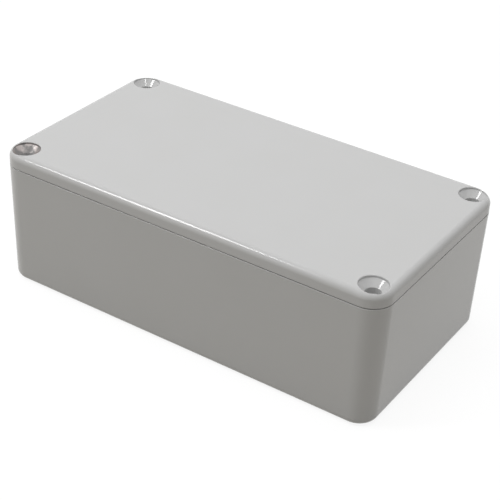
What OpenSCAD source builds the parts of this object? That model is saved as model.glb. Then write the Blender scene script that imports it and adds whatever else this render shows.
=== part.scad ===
// Die cast enclosure: a drafted five-sided base and a shallow lid that laps into it.
// The origin is the middle of the underside, X runs along the length and Z is up.

/* [Body] */
// Outside length at the parting line
body_l = 112; // [90:1:160]
// Outside width at the parting line
body_w = 60.5; // [50:0.5:100]
// Height of the closed box
total_h = 38; // [28:0.5:80]
// Plan radius of the upright corners at the parting line
corner_r = 6; // [5:0.25:7]
// Thickness of the base's walls at the parting line
wall_t = 2.2; // [1.8:0.1:2.6]
// Thickness of the floor
floor_t = 2.4; // [1.8:0.1:3.2]
// Draft of the base's outside faces, in degrees
draft_out = 1.1; // [0.5:0.1:1.5]
// Draft of the base's inside faces, in degrees
draft_in = 1.5; // [0.5:0.1:1.8]
// Radius round the underside's edge
foot_r = 2; // [0.5:0.1:2.4]
// Radius between the floor and the walls, inside
floor_fillet_r = 1.25; // [0.5:0.25:2]

/* [Lid] */
// Height of the lid from the parting line to its top
lid_h = 3.8; // [3.4:0.1:6]
// Thickness of the lid's flat plate
plate_t = 2; // [1.6:0.1:2.4]
// Draft of the lid's outside faces, in degrees
lid_draft = 1; // [0:0.25:3]
// Radius round the lid's top edge
lid_edge_r = 1.8; // [0.8:0.1:2]
// Radius between the plate and its rim or ribs, underneath
plate_fillet_r = 0.8; // [0.4:0.1:1]

/* [Lap joint] */
// Height of the shadow line between the lid's rim and the base's walls
seam_gap = 0.2; // [0.1:0.05:0.4]
// Chamfer on the outer edges above and below the shadow line
seam_chamfer = 0.1; // [0.05:0.05:0.3]
// Depth that the locating ribs reach below the parting line
rib_depth = 2.4; // [1.2:0.1:5]
// Thickness of the locating ribs at the plate
rib_t = 1.5; // [1.2:0.1:2]
// Chamfer that leads the ribs into the base
rib_lead = 0.4; // [0.2:0.1:0.5]
// Clearance between the ribs and the base's walls
rib_gap = 0.25; // [0.1:0.05:0.5]

/* [Screw corners] */
// Distance of each screw's axis from the two outside faces beside it
screw_inset = 4.9; // [4.5:0.1:5.5]
// Radius of the clearance hole in the lid
clearance_r = 1.95; // [1.75:0.05:2.25]
// Radius of the countersink at the lid's top
sink_r = 3.6; // [3.4:0.1:4]
// Depth of the straight wall above the countersink's cone
sink_land = 0.6; // [0.4:0.05:0.8]
// Radius of the tapping hole in each post
tap_r = 1.45; // [1.25:0.05:1.6]
// Depth of the tapping hole
tap_depth = 16; // [8:1:20]
// Chamfer at the tapping hole's mouth
tap_chamfer = 0.4; // [0.2:0.1:0.6]
// Radius of each post round its screw
post_r = 4.4; // [4:0.1:5]
// Radius between each post and the walls beside it
post_fillet_r = 1.5; // [0.5:0.25:2]

/* [Hidden] */
$fn = 64;
// Cutting shapes run this far past the faces that they open
eps = 0.01;

// Heights
parting_z = total_h - lid_h;
wall_top_z = parting_z - seam_gap;
plate_low_z = total_h - plate_t;

// The axes of the rounded corners are the corners of a rectangle, and sections are drawn outwards from it
core_x = body_l / 2 - corner_r;
core_y = body_w / 2 - corner_r;
wall_in = corner_r - wall_t;
rim_in = wall_in - rib_gap;

// Screw corners
screw_x = body_l / 2 - screw_inset;
screw_y = body_w / 2 - screw_inset;
// The countersink's cone has a right angle, so it is as deep as it narrows
cone_depth = sink_r - clearance_r;
// The posts stay this far inside the outside faces at every height
post_margin = 1;

enamel = "#c9cac7";

// Section of a drafted side, from x = 0 to a face that is x_open away at z_open and leans in towards
// z_low. The corner at z_low is rounded by r as a true arc, which stays clear of x = 0, about which
// the section is revolved. The corner at z_open is chamfered.
module drafted_section(x_open, z_low, z_open, draft, r, chamfer = 0) {
    x_low = x_open - (z_open - z_low) * tan(draft);
    arc_r = min(r, x_low / 2.2);
    arc_x = x_low + arc_r * tan(draft) - arc_r / cos(draft);
    open_corner = chamfer > 0
        ? [[x_open - chamfer * tan(draft), z_open - chamfer], [x_open - chamfer, z_open]]
        : [[x_open, z_open]];
    polygon([
        [0, z_low],
        [arc_x, z_low],
        [arc_x + arc_r * cos(draft), z_low + arc_r * (1 - sin(draft))],
        each open_corner,
        [0, z_open]
    ]);
    translate([arc_x, z_low + arc_r]) circle(arc_r);
}

// The same section upside down, rounded at z_top and open at the parting line
module lid_section(x_open, z_top, r, chamfer = 0) {
    translate([0, z_top])
        mirror([0, 1])
            drafted_section(x_open, 0, z_top - parting_z, lid_draft, r, chamfer);
}

// A solid block from z_low to z_high whose sides and corners follow the section given: extruded along
// each side and revolved about each corner's axis, so that the draft turns the corners as cones
module follow_outline(z_low, z_high) {
    for (side = [0 : 3]) {
        reach = side % 2 == 0 ? core_x : core_y;
        half_run = side % 2 == 0 ? core_y : core_x;
        rotate(90 * side)
            translate([reach, half_run, 0]) {
                rotate([90, 0, 0]) linear_extrude(2 * half_run) children();
                rotate_extrude(angle = 90) children();
            }
    }
    translate([-core_x, -core_y, z_low])
        cube([2 * core_x, 2 * core_y, z_high - z_low]);
}

// Repeats what is drawn at the corner towards +X +Y at all four corners
module at_corners() {
    for (flip_x = [0, 1], flip_y = [0, 1])
        mirror([flip_x, 0, 0])
            mirror([0, flip_y, 0])
                children();
}

// A rectangle with round corners, as two crossed rectangles and four circles
module round_rectangle(length, width, r) {
    square([length, width - 2 * r], center = true);
    square([length - 2 * r, width], center = true);
    at_corners() translate([length / 2 - r, width / 2 - r]) circle(r);
}

// Fills the corner between +X and +Y at the origin with a concave fillet
module inside_fillet(r) {
    difference() {
        square(r);
        translate([r, r]) circle(r);
    }
}

// Plan of the post in the corner towards +X +Y: round about its screw, then straight into both walls,
// with a fillet where it meets each
module post_plan() {
    translate([screw_x, screw_y]) circle(post_r);
    translate([screw_x, screw_y - post_r]) square([screw_inset, post_r + screw_inset]);
    translate([screw_x - post_r, screw_y]) square([post_r + screw_inset, screw_inset]);
    translate([core_x + wall_in, screw_y - post_r]) rotate(180) inside_fillet(post_fillet_r);
    translate([screw_x - post_r, core_y + wall_in]) rotate(180) inside_fillet(post_fillet_r);
}

// The posts rise from within the floor, and end inside the walls, whose draft they follow there
module posts() {
    intersection() {
        at_corners()
            translate([0, 0, floor_t / 2])
                linear_extrude(parting_z - floor_t / 2) post_plan();
        follow_outline(0, parting_z)
            drafted_section(corner_r - post_margin, 0, parting_z, draft_out, foot_r);
    }
}

module base_shell() {
    difference() {
        follow_outline(0, wall_top_z)
            drafted_section(corner_r, 0, wall_top_z, draft_out, foot_r, seam_chamfer);
        follow_outline(floor_t, wall_top_z + eps)
            drafted_section(wall_in, floor_t, wall_top_z + eps, draft_in, floor_fillet_r);
    }
}

// Blind hole for a lid screw, with its chamfered mouth
module tapping_hole() {
    translate([screw_x, screw_y, parting_z - tap_depth])
        cylinder(r = tap_r, h = tap_depth + eps);
    translate([screw_x, screw_y, parting_z - tap_chamfer])
        cylinder(r1 = tap_r, r2 = tap_r + tap_chamfer + eps, h = tap_chamfer + eps);
}

// The posts stand above the walls by the height of the shadow line, and the lid bears on them
module base() {
    color(enamel)
        difference() {
            union() {
                base_shell();
                posts();
            }
            at_corners() tapping_hole();
        }
}

module lid_shell() {
    difference() {
        follow_outline(parting_z, total_h)
            lid_section(corner_r, total_h, lid_edge_r, seam_chamfer);
        translate([0, 0, -eps])
            follow_outline(parting_z, plate_low_z)
                lid_section(rim_in, plate_low_z, plate_fillet_r);
    }
}

// Section of a locating rib: rooted in the rim and the plate, drafted on both faces like the wall that
// it slides past, and chamfered at its tip
module rib_section() {
    root = 0.5;
    tip_z = parting_z - rib_depth;
    tip_out = rim_in - rib_depth * tan(draft_in);
    tip_in = rim_in - rib_t + (plate_low_z - tip_z) * tan(draft_in);
    polygon([
        [rim_in + root, plate_low_z + root],
        [rim_in + root, parting_z],
        [rim_in, parting_z],
        [tip_out + rib_lead * tan(draft_in), tip_z + rib_lead],
        [tip_out - rib_lead, tip_z],
        [tip_in, tip_z],
        [rim_in - rib_t, plate_low_z],
        [rim_in - rib_t, plate_low_z + root]
    ]);
    translate([rim_in - rib_t, plate_low_z]) rotate(180) inside_fillet(plate_fillet_r);
}

// A straight rib inside each side of the rim, between the posts, locates the lid in the base
module locating_ribs() {
    clear = post_r + post_fillet_r;
    for (side = [0 : 3]) {
        reach = side % 2 == 0 ? core_x : core_y;
        half_run = side % 2 == 0 ? screw_y - clear : screw_x - clear;
        rotate(90 * side)
            translate([reach, half_run, 0])
                rotate([90, 0, 0]) linear_extrude(2 * half_run) rib_section();
    }
}

// Clearance hole with a right-angled countersink below a short straight land
module countersunk_hole() {
    translate([screw_x, screw_y, parting_z - eps])
        cylinder(r = clearance_r, h = lid_h + 2 * eps);
    translate([screw_x, screw_y, total_h - sink_land - cone_depth])
        cylinder(r1 = clearance_r, r2 = sink_r, h = cone_depth);
    translate([screw_x, screw_y, total_h - sink_land - eps])
        cylinder(r = sink_r, h = sink_land + 2 * eps);
}

module lid() {
    color(enamel)
        difference() {
            union() {
                lid_shell();
                locating_ribs();
                at_corners()
                    translate([0, 0, parting_z])
                        linear_extrude(plate_low_z - parting_z + plate_t / 2) post_plan();
            }
            at_corners() countersunk_hole();
        }
}

base();
lid();
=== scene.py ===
"""Dresses the die cast aluminium box: an enamelled base and the lid that laps into it.

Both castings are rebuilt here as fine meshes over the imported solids: each side is one section
swept round the box's outline, the screw corners are carved out of it, and the tapping holes get
their thread. Lengths are metres, and a value in millimetres carries ``* MM``.
"""

from __future__ import annotations

import logging
import math
from collections.abc import Callable, Mapping, Sequence
from dataclasses import dataclass
from enum import Enum

import bpy
from mathutils import Matrix, Vector

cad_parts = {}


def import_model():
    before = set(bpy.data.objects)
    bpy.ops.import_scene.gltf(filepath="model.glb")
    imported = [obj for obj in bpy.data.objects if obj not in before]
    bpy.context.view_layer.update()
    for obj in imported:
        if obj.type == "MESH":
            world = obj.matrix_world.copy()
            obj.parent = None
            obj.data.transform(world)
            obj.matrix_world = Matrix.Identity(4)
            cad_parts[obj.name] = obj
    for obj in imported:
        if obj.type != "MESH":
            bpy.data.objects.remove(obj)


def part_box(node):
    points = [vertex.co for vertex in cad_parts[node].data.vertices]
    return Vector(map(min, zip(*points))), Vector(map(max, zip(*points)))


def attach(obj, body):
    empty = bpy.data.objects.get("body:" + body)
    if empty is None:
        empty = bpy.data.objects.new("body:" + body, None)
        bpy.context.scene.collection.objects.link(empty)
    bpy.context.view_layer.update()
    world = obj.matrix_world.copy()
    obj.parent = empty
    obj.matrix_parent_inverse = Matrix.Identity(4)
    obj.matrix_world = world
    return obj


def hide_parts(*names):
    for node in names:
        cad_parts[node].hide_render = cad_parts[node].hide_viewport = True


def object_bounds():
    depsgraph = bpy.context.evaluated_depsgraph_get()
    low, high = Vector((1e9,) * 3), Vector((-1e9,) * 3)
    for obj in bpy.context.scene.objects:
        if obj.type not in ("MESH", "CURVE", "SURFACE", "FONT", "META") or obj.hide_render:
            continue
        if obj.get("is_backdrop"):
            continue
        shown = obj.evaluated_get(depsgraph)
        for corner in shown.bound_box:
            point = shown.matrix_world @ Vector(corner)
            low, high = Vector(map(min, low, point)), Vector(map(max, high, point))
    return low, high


MM = 0.001
ROOT_BODY = "root"
# Edges that turn by less than this are rounded in the shading; the rest stay crisp
SMOOTH_ANGLE = math.radians(32)
# Points nearer than this are one point
MERGE_DISTANCE = 0.001 * MM
# Carving tools run this far past the faces that they open
OVERSHOOT = 1.0 * MM
# How far inside a straight run the points lie that keep it straight in the shading
BRACE = 0.08 * MM

Point2 = tuple[float, float]
Point3 = tuple[float, float, float]

log = logging.getLogger("die_cast_box")


class Carve(Enum):
    """How a tool changes the casting that it is applied to."""

    CUT = "DIFFERENCE"
    JOIN = "UNION"


# --------------------------------------------------------------------------------------
# Sections and lofts
# --------------------------------------------------------------------------------------


@dataclass(frozen=True)
class Bend:
    """A corner of a section: where it is, and the radius and steps that round it."""

    across: float
    up: float
    radius: float = 0.0
    steps: int = 3


def rounded(bends: Sequence[Bend]) -> list[Point2]:
    """Draws a section through its corners, with each rounded by a true arc.

    Args:
        bends: The corners in order. The first and last are ends, and stay sharp.

    Returns:
        The section's points, as distance across and height.
    """
    points: list[Point2] = []
    for number, bend in enumerate(bends):
        here = Vector((bend.across, bend.up))
        if bend.radius <= 0 or number in (0, len(bends) - 1):
            points.append((here.x, here.y))
            continue
        before, after = bends[number - 1], bends[number + 1]
        back = (Vector((before.across, before.up)) - here).normalized()
        ahead = (Vector((after.across, after.up)) - here).normalized()
        half = math.acos(max(-1.0, min(1.0, back.dot(ahead)))) / 2
        centre = here + (back + ahead).normalized() * (bend.radius / math.sin(half))
        start = here + back * (bend.radius / math.tan(half)) - centre
        turn = math.pi - 2 * half
        if back.x * ahead.y - back.y * ahead.x > 0:
            turn = -turn
        for step in range(bend.steps + 1):
            angle = turn * step / bend.steps
            spun = Matrix.Rotation(angle, 2) @ start
            points.append((centre.x + spun.x, centre.y + spun.y))
    return braced(points)


def braced(points: Sequence[Point2]) -> list[Point2]:
    """Adds a point just inside both ends of each long straight run.

    The smooth shading of a rounded corner then ends where the corner does.

    Args:
        points: The section's points.

    Returns:
        The same section with the added points.
    """
    result = [points[0]]
    for before, after in zip(points, points[1:]):
        start, end = Vector(before), Vector(after)
        share = BRACE / max((end - start).length, BRACE)
        if share < 1 / 6:
            result += [tuple(start.lerp(end, share)), tuple(end.lerp(start, share))]
        result.append(after)
    return result


def arc(centre: Point2, radius: float, first: float, last: float, steps: int) -> list[Point2]:
    """Draws an arc in plan.

    Args:
        centre: The arc's centre.
        radius: The arc's radius.
        first: The angle at its first point, in degrees.
        last: The angle at its last point, in degrees.
        steps: How many chords it has.

    Returns:
        The arc's points, from the first angle to the last.
    """
    points: list[Point2] = []
    for step in range(steps + 1):
        angle = math.radians(first + (last - first) * step / steps)
        points.append((centre[0] + radius * math.cos(angle), centre[1] + radius * math.sin(angle)))
    return points


def section_mesh(name: str, points: Sequence[Point2]) -> bpy.types.Mesh:
    """Makes an open line of edges in the XZ plane, for a tree to sweep or turn.

    Args:
        name: The mesh's name.
        points: Distance across and height of each point, from the bottom to the top.

    Returns:
        The line as a mesh.
    """
    mesh = bpy.data.meshes.new(name)
    edges = [(number, number + 1) for number in range(len(points) - 1)]
    mesh.from_pydata([(across, 0.0, up) for across, up in points], edges, [])
    return mesh


def loft(name: str, rings: Sequence[Sequence[Point3]]) -> bpy.types.Mesh:
    """Joins rings of equal length into one closed solid.

    Args:
        name: The mesh's name.
        rings: The rings from the bottom to the top, each anticlockwise as seen from above.

    Returns:
        The solid, with a cap on its first and last ring.
    """
    count = len(rings[0])
    faces: list[list[int]] = []
    for level in range(len(rings) - 1):
        low, high = level * count, (level + 1) * count
        for number in range(count):
            following = (number + 1) % count
            faces.append([low + number, low + following, high + following, high + number])
    last = (len(rings) - 1) * count
    faces.append(list(reversed(range(count))))
    faces.append(list(range(last, last + count)))
    mesh = bpy.data.meshes.new(name)
    mesh.from_pydata([point for ring in rings for point in ring], [], faces)
    return mesh


# --------------------------------------------------------------------------------------
# Node trees
# --------------------------------------------------------------------------------------


def add_node(
    tree: bpy.types.NodeTree,
    kind: str,
    sockets: Mapping[int | str, object] | None = None,
    **settings: object,
) -> bpy.types.Node:
    """Adds a node with its settings and links.

    Args:
        tree: The tree that gets the node.
        kind: The node's type.
        sockets: For each input, by name or number, a value, an output socket to link, or a list
            of output sockets for an input that takes several.
        **settings: The node's own properties.

    Returns:
        The new node.
    """
    node = tree.nodes.new(kind)
    for name, value in settings.items():
        setattr(node, name, value)
    for key, value in (sockets or {}).items():
        sources = value if isinstance(value, list) else [value]
        for source in sources:
            if isinstance(source, bpy.types.NodeSocket):
                tree.links.new(source, node.inputs[key])
            else:
                node.inputs[key].default_value = source
    return node


@dataclass(frozen=True)
class TreeInput:
    """A named input of a geometry tree, with its socket type."""

    name: str
    kind: str = "NodeSocketFloat"


def open_tree(name: str, inputs: Sequence[TreeInput]) -> tuple[bpy.types.NodeTree, bpy.types.Node]:
    """Starts a geometry tree that takes a shape and a material besides its own inputs.

    Args:
        name: The tree's name.
        inputs: Its named sizes.

    Returns:
        The tree, and the node that gives its inputs.
    """
    tree = bpy.data.node_groups.new(name, "GeometryNodeTree")
    tree.interface.new_socket("Shape", in_out="INPUT", socket_type="NodeSocketGeometry")
    for item in inputs:
        tree.interface.new_socket(item.name, in_out="INPUT", socket_type=item.kind)
    tree.interface.new_socket("Material", in_out="INPUT", socket_type="NodeSocketMaterial")
    tree.interface.new_socket("Shape", in_out="OUTPUT", socket_type="NodeSocketGeometry")
    return tree, add_node(tree, "NodeGroupInput")


def close_tree(
    tree: bpy.types.NodeTree, given: bpy.types.Node, shape: bpy.types.NodeSocket
) -> bpy.types.NodeTree:
    """Ends a geometry tree with real geometry in its material.

    Args:
        tree: The tree.
        given: The node that gives its inputs.
        shape: The finished shape.

    Returns:
        The tree.
    """
    real = add_node(tree, "GeometryNodeRealizeInstances", {"Geometry": shape})
    dressed = add_node(
        tree,
        "GeometryNodeSetMaterial",
        {"Geometry": real.outputs[0], "Material": given.outputs["Material"]},
    )
    add_node(tree, "NodeGroupOutput", {"Shape": dressed.outputs[0]})
    return tree


def place_in_grid(
    tree: bpy.types.NodeTree, shape: bpy.types.NodeSocket, columns: bpy.types.NodeSocket
) -> tuple[bpy.types.Node, bpy.types.NodeSocket, bpy.types.Node]:
    """Lays out a grid with one row for each point of a section.

    Args:
        tree: The tree.
        shape: The section.
        columns: How many columns the grid has.

    Returns:
        The grid, each point's column, and the section's point for its row, as X, Y and Z.
    """
    rows = add_node(tree, "GeometryNodeAttributeDomainSize", {"Geometry": shape})
    count = rows.outputs["Point Count"]
    grid = add_node(
        tree,
        "GeometryNodeMeshGrid",
        {"Size X": 1.0, "Size Y": 1.0, "Vertices X": columns, "Vertices Y": count},
    )
    index = add_node(tree, "GeometryNodeInputIndex").outputs[0]
    column = add_node(
        tree, "FunctionNodeIntegerMath", {0: index, 1: count}, operation="DIVIDE_FLOOR"
    )
    row = add_node(tree, "FunctionNodeIntegerMath", {0: index, 1: count}, operation="MODULO")
    place = add_node(tree, "GeometryNodeInputPosition")
    point = add_node(
        tree,
        "GeometryNodeSampleIndex",
        {"Geometry": shape, "Value": place.outputs[0], "Index": row.outputs[0]},
        data_type="FLOAT_VECTOR",
        domain="POINT",
    )
    parts = add_node(tree, "ShaderNodeSeparateXYZ", {0: point.outputs[0]})
    return grid, column.outputs[0], parts


def swept_casting_tree() -> bpy.types.NodeTree:
    """Builds the tree that sweeps a section round the box.

    The outline is a rectangle with round corners. The section's distances run outwards from the
    corners' upright axes, so a drafted side turns each corner as a true cone.

    Returns:
        The tree.
    """
    tree, given = open_tree(
        "Swept casting",
        [
            TreeInput("Half Core X"),
            TreeInput("Half Core Y"),
            TreeInput("Corner Steps", "NodeSocketInt"),
        ],
    )
    shape, steps = given.outputs["Shape"], given.outputs["Corner Steps"]
    half_x, half_y = given.outputs["Half Core X"], given.outputs["Half Core Y"]
    per_corner = add_node(tree, "FunctionNodeIntegerMath", {0: steps, 1: 1}, operation="ADD")
    columns = add_node(
        tree,
        "FunctionNodeIntegerMath",
        {0: per_corner.outputs[0], 1: 4, 2: 1},
        operation="MULTIPLY_ADD",
    )
    grid, column, parts = place_in_grid(tree, shape, columns.outputs[0])
    corner = add_node(
        tree,
        "FunctionNodeIntegerMath",
        {0: column, 1: per_corner.outputs[0]},
        operation="DIVIDE_FLOOR",
    )
    step = add_node(
        tree, "FunctionNodeIntegerMath", {0: column, 1: per_corner.outputs[0]}, operation="MODULO"
    )
    share = add_node(tree, "ShaderNodeMath", {0: step.outputs[0], 1: steps}, operation="DIVIDE")
    quarters = add_node(
        tree, "ShaderNodeMath", {0: corner.outputs[0], 1: share.outputs[0]}, operation="ADD"
    )
    angle = add_node(
        tree, "ShaderNodeMath", {0: quarters.outputs[0], 1: math.pi / 2}, operation="MULTIPLY"
    )
    middle = add_node(
        tree,
        "ShaderNodeMath",
        {0: corner.outputs[0], 1: math.pi / 2, 2: math.pi / 4},
        operation="MULTIPLY_ADD",
    )
    places: dict[str, bpy.types.NodeSocket] = {}
    for axis, wave, half in (("X", "COSINE", half_x), ("Y", "SINE", half_y)):
        toward = add_node(tree, "ShaderNodeMath", {0: middle.outputs[0]}, operation=wave)
        sign = add_node(tree, "ShaderNodeMath", {0: toward.outputs[0]}, operation="SIGN")
        core = add_node(
            tree, "ShaderNodeMath", {0: sign.outputs[0], 1: half}, operation="MULTIPLY"
        )
        outward = add_node(tree, "ShaderNodeMath", {0: angle.outputs[0]}, operation=wave)
        place = add_node(
            tree,
            "ShaderNodeMath",
            {0: outward.outputs[0], 1: parts.outputs["X"], 2: core.outputs[0]},
            operation="MULTIPLY_ADD",
        )
        places[axis] = place.outputs[0]
    place = add_node(tree, "ShaderNodeCombineXYZ", {**places, "Z": parts.outputs["Z"]})
    sides = add_node(
        tree,
        "GeometryNodeSetPosition",
        {"Geometry": grid.outputs["Mesh"], "Position": place.outputs[0]},
    )
    caps = core_caps(tree, shape, half_x, half_y)
    whole = add_node(tree, "GeometryNodeJoinGeometry", {0: [sides.outputs[0], *caps]})
    merged = add_node(
        tree,
        "GeometryNodeMergeByDistance",
        {"Geometry": whole.outputs[0], "Distance": MERGE_DISTANCE},
    )
    return close_tree(tree, given, merged.outputs[0])


def core_caps(
    tree: bpy.types.NodeTree,
    shape: bpy.types.NodeSocket,
    half_x: bpy.types.NodeSocket,
    half_y: bpy.types.NodeSocket,
) -> list[bpy.types.NodeSocket]:
    """Closes a swept section with a rectangle between the corners' axes, below and above.

    Args:
        tree: The tree.
        shape: The section, whose first and last points lie on the corners' axes.
        half_x: Half the rectangle's length.
        half_y: Half its width.

    Returns:
        The lower rectangle, facing down, and the upper one, facing up.
    """
    sizes: list[bpy.types.NodeSocket] = []
    for half in (half_x, half_y):
        whole = add_node(tree, "ShaderNodeMath", {0: half, 1: 2.0}, operation="MULTIPLY")
        sizes.append(whole.outputs[0])
    sheet = add_node(
        tree,
        "GeometryNodeMeshGrid",
        {"Size X": sizes[0], "Size Y": sizes[1], "Vertices X": 2, "Vertices Y": 2},
    )
    rows = add_node(tree, "GeometryNodeAttributeDomainSize", {"Geometry": shape})
    last = add_node(
        tree,
        "FunctionNodeIntegerMath",
        {0: rows.outputs["Point Count"], 1: 1},
        operation="SUBTRACT",
    )
    place = add_node(tree, "GeometryNodeInputPosition")
    caps: list[bpy.types.NodeSocket] = []
    for row in (0, last.outputs[0]):
        point = add_node(
            tree,
            "GeometryNodeSampleIndex",
            {"Geometry": shape, "Value": place.outputs[0], "Index": row},
            data_type="FLOAT_VECTOR",
            domain="POINT",
        )
        parts = add_node(tree, "ShaderNodeSeparateXYZ", {0: point.outputs[0]})
        lift = add_node(tree, "ShaderNodeCombineXYZ", {"Z": parts.outputs["Z"]})
        cap = add_node(
            tree,
            "GeometryNodeTransform",
            {"Geometry": sheet.outputs["Mesh"], "Translation": lift.outputs[0]},
        )
        caps.append(cap.outputs[0])
    under = add_node(tree, "GeometryNodeFlipFaces", {0: caps[0]})
    return [under.outputs[0], caps[1]]


def threaded_hole_tree() -> bpy.types.NodeTree:
    """Builds the tree that turns a hole's section about Z and runs a thread down it.

    The thread follows a right-handed helix. It deepens outwards from the hole's own radius and
    fades over one turn at each end.

    Returns:
        The tree.
    """
    tree, given = open_tree(
        "Threaded hole",
        [
            TreeInput("Turn Steps", "NodeSocketInt"),
            TreeInput("Pitch"),
            TreeInput("Thread Depth"),
            TreeInput("Thread Bottom"),
            TreeInput("Thread Top"),
        ],
    )
    shape, steps, pitch = (given.outputs[name] for name in ("Shape", "Turn Steps", "Pitch"))
    columns = add_node(tree, "FunctionNodeIntegerMath", {0: steps, 1: 1}, operation="ADD")
    grid, column, parts = place_in_grid(tree, shape, columns.outputs[0])
    turn = add_node(tree, "ShaderNodeMath", {0: column, 1: steps}, operation="DIVIDE")
    height = add_node(
        tree, "ShaderNodeMath", {0: parts.outputs["Z"], 1: pitch}, operation="DIVIDE"
    )
    phase = add_node(
        tree, "ShaderNodeMath", {0: height.outputs[0], 1: turn.outputs[0]}, operation="SUBTRACT"
    )
    wave = add_node(
        tree, "ShaderNodeMath", {0: phase.outputs[0], 1: 0.5}, operation="PINGPONG"
    )
    # The flanks meet short flats at the crest and the root
    form = add_node(
        tree,
        "ShaderNodeMapRange",
        {"Value": wave.outputs[0], "From Min": 0.06, "From Max": 0.44},
    )
    depth = form.outputs[0]
    for end, sign in (("Thread Bottom", 1.0), ("Thread Top", -1.0)):
        inside = add_node(
            tree,
            "ShaderNodeMath",
            {0: parts.outputs["Z"], 1: given.outputs[end]},
            operation="SUBTRACT",
        )
        ramp = add_node(
            tree, "ShaderNodeMath", {0: inside.outputs[0], 1: pitch}, operation="DIVIDE"
        )
        faded = add_node(
            tree,
            "ShaderNodeMapRange",
            {"Value": ramp.outputs[0], "From Min": 0.0, "From Max": sign},
        )
        both = add_node(
            tree, "ShaderNodeMath", {0: depth, 1: faded.outputs[0]}, operation="MULTIPLY"
        )
        depth = both.outputs[0]
    radius = add_node(
        tree,
        "ShaderNodeMath",
        {0: depth, 1: given.outputs["Thread Depth"], 2: parts.outputs["X"]},
        operation="MULTIPLY_ADD",
    )
    angle = add_node(
        tree, "ShaderNodeMath", {0: turn.outputs[0], 1: 2 * math.pi}, operation="MULTIPLY"
    )
    places: dict[str, bpy.types.NodeSocket] = {}
    for axis, wave_kind in (("X", "COSINE"), ("Y", "SINE")):
        toward = add_node(tree, "ShaderNodeMath", {0: angle.outputs[0]}, operation=wave_kind)
        reach = add_node(
            tree,
            "ShaderNodeMath",
            {0: toward.outputs[0], 1: radius.outputs[0]},
            operation="MULTIPLY",
        )
        places[axis] = reach.outputs[0]
    place = add_node(tree, "ShaderNodeCombineXYZ", {**places, "Z": parts.outputs["Z"]})
    turned = add_node(
        tree,
        "GeometryNodeSetPosition",
        {"Geometry": grid.outputs["Mesh"], "Position": place.outputs[0]},
    )
    merged = add_node(
        tree,
        "GeometryNodeMergeByDistance",
        {"Geometry": turned.outputs[0], "Distance": MERGE_DISTANCE},
    )
    return close_tree(tree, given, merged.outputs[0])


def four_corners_tree() -> bpy.types.NodeTree:
    """Builds the tree that repeats a shape at the box's four screw corners.

    The shape is drawn about its screw's axis as it stands in the corner towards +X +Y, and is the
    same on both sides of that corner's diagonal, so a quarter turn fits it to the next corner.

    Returns:
        The tree.
    """
    tree, given = open_tree("Four corners", [TreeInput("Screw X"), TreeInput("Screw Y")])
    sizes: list[bpy.types.NodeSocket] = []
    for name in ("Screw X", "Screw Y"):
        whole = add_node(
            tree, "ShaderNodeMath", {0: given.outputs[name], 1: 2.0}, operation="MULTIPLY"
        )
        sizes.append(whole.outputs[0])
    corners = add_node(
        tree,
        "GeometryNodeMeshGrid",
        {"Size X": sizes[0], "Size Y": sizes[1], "Vertices X": 2, "Vertices Y": 2},
    )
    place = add_node(tree, "GeometryNodeInputPosition")
    parts = add_node(tree, "ShaderNodeSeparateXYZ", {0: place.outputs[0]})
    signs = [
        add_node(tree, "ShaderNodeMath", {0: parts.outputs[axis]}, operation="SIGN").outputs[0]
        for axis in ("X", "Y")
    ]
    toward = add_node(tree, "ShaderNodeMath", {0: signs[1], 1: signs[0]}, operation="ARCTAN2")
    turn = add_node(
        tree, "ShaderNodeMath", {0: toward.outputs[0], 1: math.pi / 4}, operation="SUBTRACT"
    )
    euler = add_node(tree, "ShaderNodeCombineXYZ", {"Z": turn.outputs[0]})
    rotation = add_node(tree, "FunctionNodeEulerToRotation", {0: euler.outputs[0]})
    copies = add_node(
        tree,
        "GeometryNodeInstanceOnPoints",
        {
            "Points": corners.outputs["Mesh"],
            "Instance": given.outputs["Shape"],
            "Rotation": rotation.outputs[0],
        },
    )
    return close_tree(tree, given, copies.outputs[0])


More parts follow.
